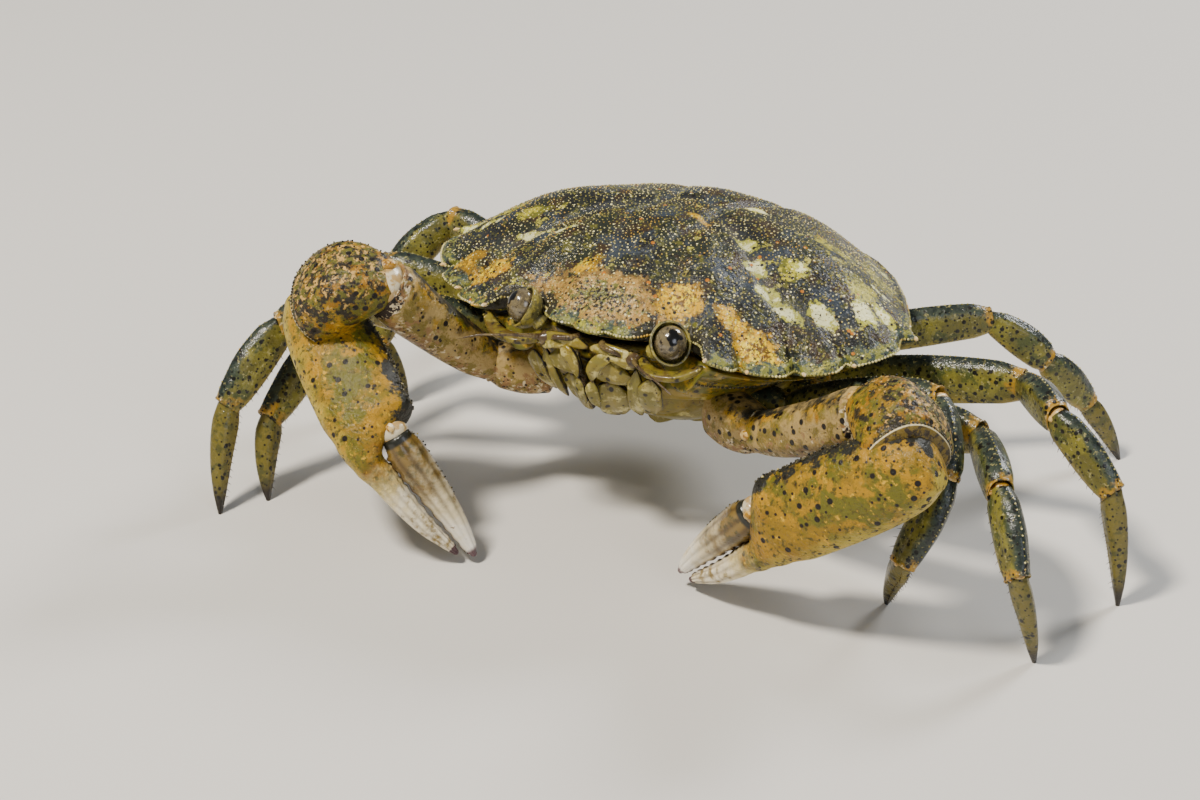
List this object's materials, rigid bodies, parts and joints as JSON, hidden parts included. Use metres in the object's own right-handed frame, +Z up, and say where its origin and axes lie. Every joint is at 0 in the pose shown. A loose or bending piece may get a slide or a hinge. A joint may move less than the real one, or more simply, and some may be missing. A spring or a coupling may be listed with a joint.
{
  "type": "shore crab",
  "caption": "Still model of a shore crab standing on its walking legs, shell nose-up, both claws lowered in front with their tips just off the floor.",
  "frame": {"origin": "middle of the model's outline, at the floor", "axes": "+Z up, head towards -Y, the crab's own left towards +X"},
  "size_m": [0.1264, 0.0887, 0.0438],
  "materials": {
    "shell": "satin chitin, granulated",
    "underside": "satin chitin",
    "sternum": "satin chitin",
    "eye": "glossy cornea on a smooth stalk",
    "mouthparts": "satin chitin",
    "antenna": "matt chitin",
    "claw": "satin chitin with black dots",
    "finger": "smooth chitin, purple-brown tip",
    "leg": "satin chitin, speckled"
  },
  "bodies": {
    "root": {"carapace": "shell", "underside": "underside", "sternum": "sternum", "abdomen": "sternum", "eye_left": "eye", "maxilliped_left": "mouthparts", "antenna_left": "antenna", "claw_left_base": "claw", "claw_left_merus": "claw", "claw_left_carpus": "claw", "claw_left_palm": "claw", "claw_left_finger": "finger", "eye_right": "eye", "maxilliped_right": "mouthparts", "antenna_right": "antenna", "claw_right_base": "claw", "claw_right_merus": "claw", "claw_right_carpus": "claw", "claw_right_palm": "claw", "claw_right_finger": "finger", "leg1_left_base": "leg", "leg1_left_merus": "leg", "leg1_left_carpus": "leg", "leg1_left_propodus": "leg", "leg1_left_dactylus": "leg", "leg1_right_base": "leg", "leg1_right_merus": "leg", "leg1_right_carpus": "leg", "leg1_right_propodus": "leg", "leg1_right_dactylus": "leg", "leg2_left_base": "leg", "leg2_left_merus": "leg", "leg2_left_carpus": "leg", "leg2_left_propodus": "leg", "leg2_left_dactylus": "leg", "leg2_right_base": "leg", "leg2_right_merus": "leg", "leg2_right_carpus": "leg", "leg2_right_propodus": "leg", "leg2_right_dactylus": "leg", "leg3_left_base": "leg", "leg3_left_merus": "leg", "leg3_left_carpus": "leg", "leg3_left_propodus": "leg", "leg3_left_dactylus": "leg", "leg3_right_base": "leg", "leg3_right_merus": "leg", "leg3_right_carpus": "leg", "leg3_right_propodus": "leg", "leg3_right_dactylus": "leg", "leg4_left_base": "leg", "leg4_left_merus": "leg", "leg4_left_carpus": "leg", "leg4_left_propodus": "leg", "leg4_left_dactylus": "leg", "leg4_right_base": "leg", "leg4_right_merus": "leg", "leg4_right_carpus": "leg", "leg4_right_propodus": "leg", "leg4_right_dactylus": "leg"}
  },
  "joints": []
}
